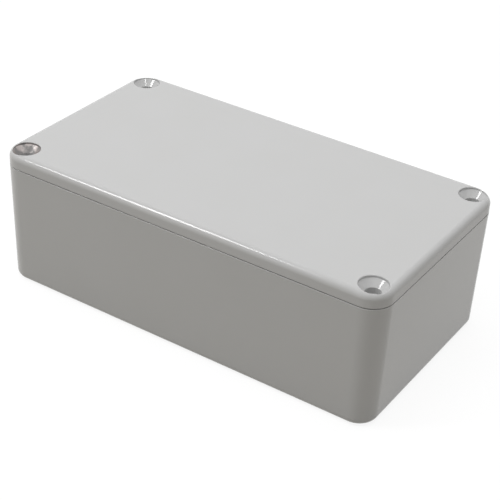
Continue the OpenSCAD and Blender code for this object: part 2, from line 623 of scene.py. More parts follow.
def side_ribs_tree() -> bpy.types.NodeTree:
    """Builds the tree that runs a rib's section along the inside of all four sides.

    The section is a flat face in the XZ plane, drawn outwards from the corners' axes.

    Returns:
        The tree.
    """
    tree, given = open_tree(
        "Side ribs",
        [
            TreeInput("Half Core X"),
            TreeInput("Half Core Y"),
            TreeInput("Run Beside X"),
            TreeInput("Run Beside Y"),
        ],
    )
    face = given.outputs["Shape"]
    along = add_node(tree, "ShaderNodeCombineXYZ", {"Y": 1.0})
    run = add_node(
        tree,
        "GeometryNodeExtrudeMesh",
        {"Mesh": face, "Offset": along.outputs[0], "Offset Scale": 1.0, "Individual": False},
        mode="FACES",
    )
    near = add_node(tree, "GeometryNodeFlipFaces", {0: face})
    whole = add_node(
        tree, "GeometryNodeJoinGeometry", {0: [run.outputs["Mesh"], near.outputs[0]]}
    )
    rib = add_node(
        tree,
        "GeometryNodeMergeByDistance",
        {"Geometry": whole.outputs[0], "Distance": MERGE_DISTANCE},
    )
    centred = add_node(
        tree,
        "GeometryNodeTransform",
        {"Geometry": rib.outputs[0], "Translation": (0.0, -0.5, 0.0)},
    )
    index = add_node(tree, "GeometryNodeInputIndex").outputs[0]
    turn = add_node(tree, "ShaderNodeMath", {0: index, 1: math.pi / 2}, operation="MULTIPLY")
    places: dict[str, bpy.types.NodeSocket] = {}
    for axis, wave, half in (("X", "COSINE", "Half Core X"), ("Y", "SINE", "Half Core Y")):
        toward = add_node(tree, "ShaderNodeMath", {0: turn.outputs[0]}, operation=wave)
        reach = add_node(
            tree,
            "ShaderNodeMath",
            {0: toward.outputs[0], 1: given.outputs[half]},
            operation="MULTIPLY",
        )
        places[axis] = reach.outputs[0]
    place = add_node(tree, "ShaderNodeCombineXYZ", places)
    points = add_node(tree, "GeometryNodePoints", {"Count": 4, "Position": place.outputs[0]})
    odd = add_node(tree, "FunctionNodeIntegerMath", {0: index, 1: 2}, operation="MODULO")
    length = add_node(
        tree,
        "ShaderNodeMix",
        {
            0: odd.outputs[0],
            2: given.outputs["Run Beside Y"],
            3: given.outputs["Run Beside X"],
        },
        data_type="FLOAT",
    )
    scale = add_node(tree, "ShaderNodeCombineXYZ", {"X": 1.0, "Y": length.outputs[0], "Z": 1.0})
    euler = add_node(tree, "ShaderNodeCombineXYZ", {"Z": turn.outputs[0]})
    rotation = add_node(tree, "FunctionNodeEulerToRotation", {0: euler.outputs[0]})
    copies = add_node(
        tree,
        "GeometryNodeInstanceOnPoints",
        {
            "Points": points.outputs[0],
            "Instance": centred.outputs[0],
            "Rotation": rotation.outputs[0],
            "Scale": scale.outputs[0],
        },
    )
    return close_tree(tree, given, copies.outputs[0])


# --------------------------------------------------------------------------------------
# Objects
# --------------------------------------------------------------------------------------


def new_object(name: str, mesh: bpy.types.Mesh) -> bpy.types.Object:
    """Puts a mesh into the scene as an object at the origin.

    Args:
        name: The object's name.
        mesh: Its mesh.

    Returns:
        The object.
    """
    made = bpy.data.objects.new(name, mesh)
    bpy.context.scene.collection.objects.link(made)
    return made


def settled(worker: bpy.types.Object, name: str) -> bpy.types.Object:
    """Turns an object and its modifiers into an object with a plain mesh.

    Args:
        worker: The object with modifiers, which is removed.
        name: The new object's name.

    Returns:
        The plain object.
    """
    graph = bpy.context.evaluated_depsgraph_get()
    mesh = bpy.data.meshes.new_from_object(
        worker.evaluated_get(graph), preserve_all_data_layers=True, depsgraph=graph
    )
    bpy.data.objects.remove(worker)
    mesh.name = name
    return new_object(name, mesh)


def shaped(
    tree: bpy.types.NodeTree, start: bpy.types.Mesh, name: str, values: Mapping[str, object]
) -> bpy.types.Object:
    """Runs a geometry tree on a mesh.

    Args:
        tree: The tree.
        start: The mesh that the tree starts from.
        name: The result's name.
        values: The value of each named input.

    Returns:
        The result, as an object with a plain mesh.
    """
    worker = new_object(f"{name}_form", start)
    modifier = worker.modifiers.new(tree.name, "NODES")
    modifier.node_group = tree
    identifiers = {
        item.name: item.identifier
        for item in tree.interface.items_tree
        if item.item_type == "SOCKET" and item.in_out == "INPUT"
    }
    for label, value in values.items():
        modifier[identifiers[label]] = value
    return settled(worker, name)


def carved(
    casting: bpy.types.Object, tools: Sequence[tuple[Carve, bpy.types.Object]], name: str
) -> bpy.types.Object:
    """Applies tools to a casting, one after the other, and removes them.

    Args:
        casting: The solid to change, which is replaced.
        tools: How each tool is used, and the tool.
        name: The result's name.

    Returns:
        The carved solid, as an object with a plain mesh.
    """
    for how, tool in tools:
        modifier = casting.modifiers.new(tool.name, "BOOLEAN")
        modifier.operation = how.value
        modifier.solver = "MANIFOLD"
        modifier.object = tool
    result = settled(casting, name)
    for _, tool in tools:
        bpy.data.objects.remove(tool)
    return result


def shade_casting(casting: bpy.types.Object) -> bpy.types.Object:
    """Rounds the shading over small edges while the large faces stay flat.

    Args:
        casting: The finished solid, which is replaced.

    Returns:
        The same solid with its normals set.
    """
    mesh = casting.data
    mesh.polygons.foreach_set("use_smooth", [True] * len(mesh.polygons))
    mesh.set_sharp_from_angle(angle=SMOOTH_ANGLE)
    modifier = casting.modifiers.new("Flat faces lead", "WEIGHTED_NORMAL")
    modifier.keep_sharp = True
    return settled(casting, casting.name)


# --------------------------------------------------------------------------------------
# Finishes
# --------------------------------------------------------------------------------------


def linear(code: str) -> tuple[float, float, float, float]:
    """Turns an sRGB hex colour into linear light with full opacity.

    Args:
        code: The colour, such as "#c9cac7".

    Returns:
        Red, green, blue and alpha.
    """
    levels = [int(code[place : place + 2], 16) / 255 for place in (1, 3, 5)]
    light = [
        level / 12.92 if level <= 0.04045 else ((level + 0.055) / 1.055) ** 2.4
        for level in levels
    ]
    return (light[0], light[1], light[2], 1.0)


def open_material(name: str) -> tuple[bpy.types.Material, bpy.types.NodeTree]:
    """Starts a material with an empty node tree.

    Args:
        name: The material's name.

    Returns:
        The material and its empty tree.
    """
    material = bpy.data.materials.new(name)
    material.use_nodes = True
    material.node_tree.nodes.clear()
    return material, material.node_tree


@dataclass(frozen=True)
class BakedEnamel:
    """Stoved polyester enamel on die cast aluminium, light grey.

    Sprayed and baked, it gives the eye an even, faintly mottled grey, a soft sheen that sharpens
    into a thin bright line along a rounded edge, and the slight ripple called orange peel.
    """

    name: str = "baked_enamel_light_grey"
    colour: str = "#c5c5c5"
    colour_thin: str = "#c2c2c1"
    ior: float = 1.5
    roughness: float = 0.08
    roughness_spread: float = 0.015
    # The film's colour wanders over about this width
    mottle_width: float = 18.0 * MM
    # One ripple of orange peel
    peel_width: float = 1.1 * MM
    peel_height: float = 0.0012 * MM

    def build(self) -> bpy.types.Material:
        """Makes the material.

        Returns:
            The material.
        """
        material, tree = open_material(self.name)
        place = add_node(tree, "ShaderNodeTexCoord").outputs["Object"]
        mottle = add_node(
            tree,
            "ShaderNodeTexNoise",
            {"Vector": place, "Scale": 1 / self.mottle_width, "Detail": 2.0, "Roughness": 0.5},
        )
        tone = add_node(
            tree,
            "ShaderNodeMix",
            {
                0: mottle.outputs["Fac"],
                6: linear(self.colour_thin),
                7: linear(self.colour),
            },
            data_type="RGBA",
        )
        sheen = add_node(
            tree,
            "ShaderNodeMapRange",
            {
                "Value": mottle.outputs["Fac"],
                "To Min": self.roughness - self.roughness_spread,
                "To Max": self.roughness + self.roughness_spread,
            },
        )
        peel = add_node(
            tree,
            "ShaderNodeTexNoise",
            {"Vector": place, "Scale": 1 / self.peel_width, "Detail": 1.0, "Roughness": 0.4},
        )
        ripple = add_node(
            tree,
            "ShaderNodeBump",
            {"Height": peel.outputs["Fac"], "Strength": 1.0, "Distance": self.peel_height},
        )
        shader = add_node(
            tree,
            "ShaderNodeBsdfPrincipled",
            {
                "Base Color": tone.outputs[2],
                "Roughness": sheen.outputs[0],
                "IOR": self.ior,
                "Normal": ripple.outputs[0],
            },
        )
        add_node(tree, "ShaderNodeOutputMaterial", {"Surface": shader.outputs[0]})
        return material


@dataclass(frozen=True)
class TappedAluminium:
    """Aluminium casting alloy as the tap leaves it, bare of enamel.

    Cut metal with fine tool marks, slightly warm, painted down to a mid grey as painted shade for
    the depth of its hole.
    """

    name: str = "tapped_aluminium"
    # Both colours are darker than bare aluminium: painted shade for the depth of the hole; the tool
    # marks mix the two
    colour: str = "#7d7b78"
    colour_dull: str = "#575552"
    roughness: float = 0.45
    # Tool marks are finer than this; they are drawn as coarse as they need to show
    mark_pitch: float = 0.2 * MM
    mark_height: float = 0.004 * MM
    # The tap draws its marks out round the hole
    mark_stretch: Point3 = (0.25, 0.25, 1.0)

    def build(self) -> bpy.types.Material:
        """Makes the material.

        Returns:
            The material.
        """
        material, tree = open_material(self.name)
        place = add_node(tree, "ShaderNodeTexCoord").outputs["Object"]
        drag = add_node(
            tree, "ShaderNodeMapping", {"Vector": place, "Scale": self.mark_stretch}
        )
        marks = add_node(
            tree,
            "ShaderNodeTexNoise",
            {"Vector": drag.outputs[0], "Scale": 1 / self.mark_pitch, "Detail": 3.0},
        )
        tone = add_node(
            tree,
            "ShaderNodeMix",
            {0: marks.outputs["Fac"], 6: linear(self.colour_dull), 7: linear(self.colour)},
            data_type="RGBA",
        )
        relief = add_node(
            tree,
            "ShaderNodeBump",
            {"Height": marks.outputs["Fac"], "Strength": 1.0, "Distance": self.mark_height},
        )
        shader = add_node(
            tree,
            "ShaderNodeBsdfPrincipled",
            {
                "Base Color": tone.outputs[2],
                "Metallic": 1.0,
                "Roughness": self.roughness,
                "Normal": relief.outputs[0],
            },
        )
        add_node(tree, "ShaderNodeOutputMaterial", {"Surface": shader.outputs[0]})
        return material


@dataclass(frozen=True)
class ScuffedSeat:
    """A countersink whose enamel a screw head has turned through to the metal.

    It gives the eye a warm grey of bare alloy, smeared round the cone, with patches where enamel is
    left; these are painted a darker grey than the enamel, as painted shade in the seat's hollow.
    """

    name: str = "scuffed_screw_seat"
    colour_bare: str = "#b8b0ad"
    colour_dull: str = "#a39d9b"
    # The enamel that is left is given a darker grey than the enamel's own: painted shade in the
    # seat's hollow
    enamel_left_in_painted_shade: str = "#858382"
    # Patches of enamel that are left
    patch_width: float = 1.6 * MM
    smear_width: float = 0.45 * MM
    smear_height: float = 0.03 * MM
    roughness: float = 0.4
    # The metal shows where the patches' noise is above the first level, in full from the second
    bared_from: float = 0.4
    bared_to: float = 0.55

    def build(self) -> bpy.types.Material:
        """Makes the material.

        Returns:
            The material.
        """
        material, tree = open_material(self.name)
        place = add_node(tree, "ShaderNodeTexCoord").outputs["Object"]
        patches = add_node(
            tree,
            "ShaderNodeTexNoise",
            {"Vector": place, "Scale": 1 / self.patch_width, "Detail": 2.0, "Roughness": 0.55},
        )
        bare = add_node(
            tree,
            "ShaderNodeMapRange",
            {
                "Value": patches.outputs["Fac"],
                "From Min": self.bared_from,
                "From Max": self.bared_to,
            },
        )
        smear = add_node(
            tree,
            "ShaderNodeTexNoise",
            {"Vector": place, "Scale": 1 / self.smear_width, "Detail": 3.0, "Roughness": 0.6},
        )
        metal = add_node(
            tree,
            "ShaderNodeMix",
            {0: smear.outputs["Fac"], 6: linear(self.colour_dull), 7: linear(self.colour_bare)},
            data_type="RGBA",
        )
        tone = add_node(
            tree,
            "ShaderNodeMix",
            {0: bare.outputs[0], 6: linear(self.enamel_left_in_painted_shade), 7: metal.outputs[2]},
            data_type="RGBA",
        )
        relief = add_node(
            tree,
            "ShaderNodeBump",
            {"Height": smear.outputs["Fac"], "Strength": 1.0, "Distance": self.smear_height},
        )
        shader = add_node(
            tree,
            "ShaderNodeBsdfPrincipled",
            {
                "Base Color": tone.outputs[2],
                "Metallic": bare.outputs[0],
                "Roughness": self.roughness,
                "Normal": relief.outputs[0],
            },
        )
        add_node(tree, "ShaderNodeOutputMaterial", {"Surface": shader.outputs[0]})
        return material


# --------------------------------------------------------------------------------------
# The castings
# --------------------------------------------------------------------------------------


@dataclass(frozen=True)
class Envelope:
    """Outside sizes that both castings share, taken from the CAD boxes."""

    half_x: float
    half_y: float
    parting_z: float
    top_z: float
    corner_r: float = 6.0 * MM
    corner_steps: int = 32
    # Height of the shadow line between the lid's rim and the base's walls
    seam_gap: float = 0.2 * MM
    # The enamel rounds the edges on both sides of the shadow line by this radius
    seam_edge_r: float = 0.12 * MM
    # Draft inside the base's walls
    draft_in: float = math.radians(1.5)
    wall_t: float = 2.2 * MM
    # Distance of each screw's axis from the two outside faces beside it
    screw_inset: float = 4.9 * MM
    post_r: float = 4.4 * MM
    post_fillet_r: float = 1.5 * MM
    # A post's outline stays this far inside the box's
    post_margin: float = 1.3 * MM
    # The posts' fillets run on into the walls by this much, so that they cross them cleanly
    fillet_overrun: float = 0.03 * MM
    # Steps of a post's arcs: behind it, along its fillets and round its own face
    outer_steps: int = 16
    fillet_steps: int = 10
    post_steps: int = 28

    @classmethod
    def from_frame(cls) -> Envelope:
        """Reads the sizes from the two CAD nodes' boxes.

        Returns:
            The sizes that the castings share.
        """
        _, base_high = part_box("base")
        _, lid_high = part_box("lid")
        return cls(lid_high.x, lid_high.y, base_high.z, lid_high.z)

    @property
    def core_x(self) -> float:
        """Distance of the corners' axes from the middle, along X."""
        return self.half_x - self.corner_r

    @property
    def core_y(self) -> float:
        """Distance of the corners' axes from the middle, along Y."""
        return self.half_y - self.corner_r

    @property
    def screw_x(self) -> float:
        """Distance of the screws' axes from the middle, along X."""
        return self.half_x - self.screw_inset

    @property
    def screw_y(self) -> float:
        """Distance of the screws' axes from the middle, along Y."""
        return self.half_y - self.screw_inset

    @property
    def wall_top_z(self) -> float:
        """Height of the base's walls."""
        return self.parting_z - self.seam_gap

    @property
    def wall_in(self) -> float:
        """Distance of the walls' inner faces from the corners' axes, at the parting line."""
        return self.corner_r - self.wall_t

    def swept(
        self, tree: bpy.types.NodeTree, bends: Sequence[Bend], name: str, finish: bpy.types.Material
    ) -> bpy.types.Object:
        """Sweeps a section round the box.

        Args:
            tree: The swept casting tree.
            bends: The section's corners, from the bottom to the top.
            name: The result's name.
            finish: The material that it gets.

        Returns:
            The swept solid.
        """
        return shaped(
            tree,
            section_mesh(name, rounded(bends)),
            name,
            {
                "Half Core X": self.core_x,
                "Half Core Y": self.core_y,
                "Corner Steps": self.corner_steps,
                "Material": finish,
            },
        )

    def cornered(
        self, tree: bpy.types.NodeTree, start: bpy.types.Mesh, name: str, finish: bpy.types.Material
    ) -> bpy.types.Object:
        """Repeats a shape at the four screw corners.

        Args:
            tree: The four corners tree.
            start: The shape, drawn about its screw's axis.
            name: The result's name.
            finish: The material that it gets.

        Returns:
            The four shapes, as one object.
        """
        return shaped(
            tree,
            start,
            name,
            {"Screw X": self.screw_x, "Screw Y": self.screw_y, "Material": finish},
        )

    def post_plan(self, wall: float, swell: float = 0.0) -> list[Point2]:
        """Draws the plan of a post or pad in the corner towards +X +Y, about its screw's axis.

        Args:
            wall: Distance of the two walls' inner faces from the corner's axis at this height.
            swell: How far the post's own face stands out beyond its radius, for a fillet.

        Returns:
            The outline's points, anticlockwise.
        """
        shift = self.corner_r - self.screw_inset
        reach = self.post_r + swell
        fillet = self.post_fillet_r - swell
        face = wall - shift + self.fillet_overrun
        outer_r = self.corner_r - self.post_margin
        limit = outer_r - shift
        outline = [(limit, -reach - fillet)]
        outline += arc((-shift, -shift), outer_r, 0, 90, self.outer_steps)
        outline += [(-reach - fillet, limit)]
        outline += arc((-reach - fillet, face - fillet), fillet, 90, 0, self.fillet_steps)
        outline += arc((0.0, 0.0), reach, 180, 270, self.post_steps)
        outline += arc((face - fillet, -reach - fillet), fillet, 90, 0, self.fillet_steps)
        return outline


@dataclass(frozen=True)
class BaseCasting:
    """The five-sided base: drafted walls, four screw posts and their threaded holes."""

    envelope: Envelope
    floor_t: float = 2.4 * MM
    draft_out: float = math.radians(1.1)
    foot_r: float = 2.0 * MM
    floor_fillet_r: float = 1.25 * MM
    wall_edge_r: float = 0.2 * MM
    post_edge: float = 0.12 * MM
    post_foot_r: float = 0.8 * MM
    post_foot_steps: int = 6
    tap_r: float = 1.45 * MM
    tap_depth: float = 16.0 * MM
    tap_chamfer: float = 0.4 * MM
    # Half the angle of the drill's point
    drill_point: float = math.radians(59)
    thread_pitch: float = 0.6 * MM
    thread_depth: float = 0.28 * MM
    # The tap stops short of the hole's end by this much
    tap_lead: float = 2.4 * MM
    thread_steps: int = 36
    rows_per_turn: int = 6

    def outside(self) -> list[Bend]:
        """Section of the outside, which leans in towards the underside.

        Returns:
            The section's corners, from the bottom to the top.
        """
        box = self.envelope
        low = box.corner_r - box.wall_top_z * math.tan(self.draft_out)
        return [
            Bend(0.0, 0.0),
            Bend(low, 0.0, self.foot_r, 16),
            Bend(box.corner_r, box.wall_top_z, box.seam_edge_r, 4),
            Bend(0.0, box.wall_top_z),
        ]

    def cavity(self) -> list[Bend]:
        """Section of the inside, as the solid that is cut away.

        Returns:
            The section's corners, from the bottom to the top.
        """
        box = self.envelope
        low = box.wall_in - (box.wall_top_z - self.floor_t) * math.tan(box.draft_in)
        return [
            Bend(0.0, self.floor_t),
            Bend(low, self.floor_t, self.floor_fillet_r, 8),
            Bend(box.wall_in, box.wall_top_z, self.wall_edge_r, 3),
            Bend(box.wall_in + OVERSHOOT, box.wall_top_z + OVERSHOOT),
            Bend(0.0, box.wall_top_z + OVERSHOOT),
        ]

    def wall_at(self, height: float) -> float:
        """Distance of the walls' inner faces from the corners' axes at a height."""
        box = self.envelope
        return box.wall_in - (box.wall_top_z - height) * math.tan(box.draft_in)

    def post(self) -> bpy.types.Mesh:
        """Makes a post, rooted in the floor with a fillet and eased at its top edge.

        Returns:
            The post's mesh, about its screw's axis.
        """
        box = self.envelope
        levels: list[Point2] = [(self.floor_t / 2, self.post_foot_r)]
        for step in range(self.post_foot_steps + 1):
            angle = math.radians(90 * step / self.post_foot_steps)
            levels.append(
                (
                    self.floor_t + self.post_foot_r * (1 - math.cos(angle)),
                    self.post_foot_r * (1 - math.sin(angle)),
                )
            )
        levels.append((box.wall_top_z / 2, 0.0))
        levels.append((box.parting_z - self.post_edge, 0.0))
        levels.append((box.parting_z, -self.post_edge))
        rings = [
            [(x, y, height) for x, y in box.post_plan(self.wall_at(height), swell)]
            for height, swell in levels
        ]
        return loft("post", rings)

    def threaded_hole(self, tree: bpy.types.NodeTree, metal: bpy.types.Material) -> bpy.types.Mesh:
        """Makes a threaded blind hole, as the solid that is cut away.

        Args:
            tree: The threaded hole tree.
            metal: The material of the cut metal.

        Returns:
            The hole's mesh, about its screw's axis.
        """
        top = self.envelope.parting_z
        bottom = top - self.tap_depth
        rows = [
            (0.0, bottom - self.tap_r / math.tan(self.drill_point)),
            (self.tap_r, bottom),
        ]
        first, last = bottom + self.tap_lead, top - self.tap_chamfer
        count = round((last - first) / self.thread_pitch * self.rows_per_turn)
        rows += [(self.tap_r, first + (last - first) * row / count) for row in range(count + 1)]
        mouth = self.tap_chamfer + OVERSHOOT
        rows += [(self.tap_r + mouth, top + OVERSHOOT), (0.0, top + OVERSHOOT)]
        made = shaped(
            tree,
            section_mesh("hole_section", rows),
            "threaded_hole",
            {
                "Turn Steps": self.thread_steps,
                "Pitch": self.thread_pitch,
                "Thread Depth": self.thread_depth,
                "Thread Bottom": first,
                "Thread Top": last,
                "Material": metal,
            },
        )
        mesh = made.data
        bpy.data.objects.remove(made)
        return mesh

    def build(
        self, trees: Mapping[str, bpy.types.NodeTree], enamel: bpy.types.Material,
        metal: bpy.types.Material,
    ) -> bpy.types.Object:
        """Makes the base.

        Args:
            trees: The geometry trees, by their short names.
            enamel: The material of its skin.
            metal: The material of its threaded holes.

        Returns:
            The base, riding on the root body in place of its CAD node.
        """
        box = self.envelope
        shell = box.swept(trees["sweep"], self.outside(), "base_outside", enamel)
        tools = [
            (Carve.CUT, box.swept(trees["sweep"], self.cavity(), "base_cavity", enamel)),
            (Carve.JOIN, box.cornered(trees["corners"], self.post(), "posts", enamel)),
            (
                Carve.CUT,
                box.cornered(
                    trees["corners"], self.threaded_hole(trees["hole"], metal), "holes", metal
                ),
            ),
        ]
        return delivered(shade_casting(carved(shell, tools, "base_casting")), "base")


@dataclass(frozen=True)
class LidCasting:
    """The shallow lid: rounded rim, locating ribs, four pads and their countersunk holes."""

    envelope: Envelope
    plate_t: float = 2.0 * MM
    draft: float = math.radians(1.0)
    edge_r: float = 1.8 * MM
    edge_steps: int = 20
    plate_fillet_r: float = 0.8 * MM
    rim_edge_r: float = 0.15 * MM
    rib_depth: float = 2.4 * MM
    rib_t: float = 1.5 * MM
    rib_lead: float = 0.4 * MM
    rib_gap: float = 0.25 * MM
    rib_fillet_steps: int = 6
    # How far the ribs and pads are rooted in what carries them
    root: float = 0.5 * MM
    clearance_r: float = 1.95 * MM
    sink_r: float = 3.6 * MM
    sink_land: float = 0.6 * MM
    # The enamel rounds the countersink's rim by this much
    rim_break: float = 0.25 * MM
    throat_r: float = 0.12 * MM
    land_edge_r: float = 0.06 * MM
    sink_steps: int = 120
    # Faces this far outside the countersink's radius still belong to it
    scuff_margin: float = 0.01 * MM

    @property
    def plate_low_z(self) -> float:
        """Height of the plate's underside."""
        return self.envelope.top_z - self.plate_t

    @property
    def rim_in(self) -> float:
        """Distance of the rim's inner faces from the corners' axes, at the parting line."""
        return self.envelope.wall_in - self.rib_gap

    def outside(self) -> list[Bend]:
        """Section of the outside, rounded at the top.

        Returns:
            The section's corners, from the bottom to the top.
        """
        box = self.envelope
        high = box.corner_r - (box.top_z - box.parting_z) * math.tan(self.draft)
        return [
            Bend(0.0, box.parting_z),
            Bend(box.corner_r, box.parting_z, box.seam_edge_r, 4),
            Bend(high, box.top_z, self.edge_r, self.edge_steps),
            Bend(0.0, box.top_z),
        ]

    def inner_face(self, height: float) -> float:
        """Distance of the rim's inner faces from the corners' axes at a height."""
        return self.rim_in - (height - self.envelope.parting_z) * math.tan(self.draft)

    def underside(self) -> list[Bend]:
        """Section of the hollow between the rim and the plate, as the solid that is cut away.

        Returns:
            The section's corners, from the bottom to the top.
        """
        parting = self.envelope.parting_z
        return [
            Bend(0.0, parting - OVERSHOOT),
            Bend(self.rim_in + OVERSHOOT, parting - OVERSHOOT),
            Bend(self.rim_in, parting, self.rim_edge_r, 3),
            Bend(self.inner_face(self.plate_low_z), self.plate_low_z, self.plate_fillet_r, 8),
            Bend(0.0, self.plate_low_z),
        ]

    def pad(self) -> bpy.types.Mesh:
        """Makes the pad that bears on a post, from below the parting line into the plate.

        Returns:
            The pad's mesh, about its screw's axis.
        """
        box = self.envelope
        heights = (box.parting_z - 2 * OVERSHOOT, self.plate_low_z + self.root)
        rings = [
            [(x, y, height) for x, y in box.post_plan(self.inner_face(height))]
            for height in heights
        ]
        return loft("pad", rings)

    def rib(self) -> bpy.types.Mesh:
        """Makes a locating rib's section, as a flat face that the side ribs tree runs out.

        Returns:
            The section's mesh, in the plane across the rib's run.
        """
        box = self.envelope
        tan_in = math.tan(box.draft_in)
        tip_z = box.parting_z - self.rib_depth
        tip_out = self.rim_in - self.rib_depth * tan_in
        tip_in = self.rim_in - self.rib_t + (self.plate_low_z - tip_z) * tan_in
        inner = self.rim_in - self.rib_t
        corners = [
            (self.rim_in + self.root, self.plate_low_z + self.root),
            (inner - self.plate_fillet_r, self.plate_low_z + self.root),
        ]
        centre = (inner - self.plate_fillet_r, self.plate_low_z - self.plate_fillet_r)
        corners += arc(centre, self.plate_fillet_r, 90, 0, self.rib_fillet_steps)
        corners += [
            (tip_in, tip_z),
            (tip_out - self.rib_lead, tip_z),
            (tip_out + self.rib_lead * tan_in, tip_z + self.rib_lead),
            (self.rim_in, box.parting_z),
            (self.rim_in, box.parting_z + self.root),
            (self.rim_in + self.root, box.parting_z + self.root),
        ]
        mesh = bpy.data.meshes.new("rib_section")
        mesh.from_pydata([(x, 0.0, z) for x, z in corners], [], [list(range(len(corners)))])
        if mesh.polygons[0].normal.y < 0:
            mesh.flip_normals()
        return mesh

    def ribs(self, tree: bpy.types.NodeTree, enamel: bpy.types.Material) -> bpy.types.Object:
        """Makes the four locating ribs.

        Args:
            tree: The side ribs tree.
            enamel: The material that they get.

        Returns:
            The ribs, as one object.
        """
        box = self.envelope
        clear = box.post_r + box.post_fillet_r
        return shaped(
            tree,
            self.rib(),
            "ribs",
            {
                "Half Core X": box.core_x,
                "Half Core Y": box.core_y,
                "Run Beside X": 2 * (box.screw_x - clear),
                "Run Beside Y": 2 * (box.screw_y - clear),
                "Material": enamel,
            },
        )

    def skin_height(self, x: float, y: float) -> float:
        """Height of the lid's top face and rounded edge above a point in the +X +Y corner.

        Args:
            x: Distance of the point from the screw's axis along X.
            y: Its distance along Y.

        Returns:
            The height.
        """
        box = self.envelope
        shift = box.corner_r - box.screw_inset
        out = math.hypot(max(x + shift, 0.0), max(y + shift, 0.0))
        flat = (
            box.corner_r
            - (box.top_z - box.parting_z) * math.tan(self.draft)
            + self.edge_r * math.tan(self.draft)
            - self.edge_r / math.cos(self.draft)
        )
        drop = min(max(out - flat, 0.0), self.edge_r)
        return box.top_z - self.edge_r + math.sqrt(self.edge_r**2 - drop**2)

    def countersink(self) -> bpy.types.Mesh:
        """Makes a countersunk clearance hole, as the solid that is cut away.

        Its rim follows the lid's skin, which falls away towards the corner.

        Returns:
            The hole's mesh, about its screw's axis.
        """
        box = self.envelope
        land_z = box.top_z - self.sink_land
        throat_z = land_z - (self.sink_r - self.clearance_r)
        section = rounded(
            [
                Bend(self.clearance_r, box.parting_z - OVERSHOOT),
                Bend(self.clearance_r, throat_z, self.throat_r, 4),
                Bend(self.sink_r, land_z, self.land_edge_r, 2),
                Bend(self.sink_r, box.top_z),
            ]
        )[:-2]
        angles = [2 * math.pi * step / self.sink_steps for step in range(self.sink_steps)]
        rings: list[list[Point3]] = []
        for radius, height in section:
            rings.append(
                [(radius * math.cos(a), radius * math.sin(a), height) for a in angles]
            )
        # The edge is a quarter round that lies against the skin, then runs on above it
        shares = [math.radians(degrees) for degrees in (0, 22.5, 45, 67.5, 90)]
        edge = [(1 - math.cos(turn), math.sin(turn) - 1) for turn in shares]
        edge.append((1.4, 0.08))
        for out, up in edge:
            ring: list[Point3] = []
            for angle in angles:
                room = self.skin_height(
                    self.sink_r * math.cos(angle), self.sink_r * math.sin(angle)
                ) - (land_z + self.land_edge_r + BRACE)
                size = min(self.rim_break, room)
                radius = self.sink_r + size * out
                x, y = radius * math.cos(angle), radius * math.sin(angle)
                ring.append((x, y, self.skin_height(x, y) + size * up))
            rings.append(ring)
        rings.append([(x, y, box.top_z + OVERSHOOT) for x, y, _ in rings[-1]])
        return loft("countersink", rings)

    def scuff(self, lid: bpy.types.Object, metal: bpy.types.Material) -> None:
        """Bares the metal in the countersink towards -X -Y.

        Args:
            lid: The finished lid.
            metal: The scuffed seat's material.
        """
        box = self.envelope
        lid.data.materials.append(metal)
        number = len(lid.data.materials) - 1
        throat_z = box.top_z - self.sink_land - (self.sink_r - self.clearance_r)
        for face in lid.data.polygons:
            away = math.hypot(face.center.x + box.screw_x, face.center.y + box.screw_y)
            if away < self.sink_r + self.scuff_margin and throat_z < face.center.z < box.top_z:
                face.material_index = number

    def build(
        self, trees: Mapping[str, bpy.types.NodeTree], enamel: bpy.types.Material,
        scuffed: bpy.types.Material,
    ) -> bpy.types.Object:
        """Makes the lid.

        Args:
            trees: The geometry trees, by their short names.
            enamel: The material of its skin.
            scuffed: The material of the countersink that is worn to the metal.

        Returns:
            The lid, riding on the root body in place of its CAD node.
        """
        box = self.envelope
        pads = box.cornered(trees["corners"], self.pad(), "pads", enamel)
        hollow = box.swept(trees["sweep"], self.underside(), "lid_hollow", enamel)
        hollow = carved(hollow, [(Carve.CUT, pads)], "lid_hollow_round_pads")
        shell = box.swept(trees["sweep"], self.outside(), "lid_outside", enamel)
        holes = box.cornered(trees["corners"], self.countersink(), "countersinks", enamel)
        tools = [
            (Carve.CUT, hollow),
            (Carve.JOIN, self.ribs(trees["ribs"], enamel)),
            (Carve.CUT, holes),
        ]
        lid = carved(shell, tools, "lid_casting")
        self.scuff(lid, scuffed)
        return delivered(shade_casting(lid), "lid")


def delivered(piece: bpy.types.Object, node: str) -> bpy.types.Object:
    """Hands a finished piece to the frame in place of its CAD node, and reports it.

    Args:
        piece: The finished piece.
        node: The CAD node that it stands for.

    Returns:
        The piece.
    """
    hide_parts(node)
    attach(piece, ROOT_BODY)
    log.info("%s: %d faces in place of %s", piece.name, len(piece.data.polygons), node)
    return piece


# --------------------------------------------------------------------------------------
# The studio
# --------------------------------------------------------------------------------------


@dataclass(frozen=True)
class Lamp:
    """A rectangular lamp that faces the object.

    Its direction is given as seen from the object: the azimuth turns from -Y towards +X.
    """

    name: str
    azimuth: float
    elevation: float
    distance: float
    length: float
    width: float
    watts: float
    mirrored: bool = True

    def build(self, target: Vector) -> bpy.types.Object:
        """Makes the lamp, turned towards a point.

        Args:
            target: The point that it faces.

        Returns:
            The lamp.
        """
        data = bpy.data.lights.new(self.name, "AREA")
        data.shape = "RECTANGLE"
        data.size, data.size_y = self.length, self.width
        data.energy = self.watts
        lamp = bpy.data.objects.new(self.name, data)
        bpy.context.scene.collection.objects.link(lamp)
        toward = direction(self.azimuth, self.elevation)
        lamp.location = target + toward * self.distance
        lamp.rotation_mode = "QUATERNION"
        lamp.rotation_quaternion = toward.to_track_quat("Z", "Y")
        lamp.visible_glossy = self.mirrored
        log.info("lamp %s: %.2f W", self.name, self.watts)
        return lamp


def direction(azimuth: float, elevation: float) -> Vector:
    """Direction from the object, with the azimuth turning from -Y towards +X, in degrees.

    Args:
        azimuth: The turn from -Y.
        elevation: The rise from level.

    Returns:
        The direction, of unit length.
    """
    turn, rise = math.radians(azimuth), math.radians(elevation)
    return Vector(
        (math.sin(turn) * math.cos(rise), -math.cos(turn) * math.cos(rise), math.sin(rise))
    )


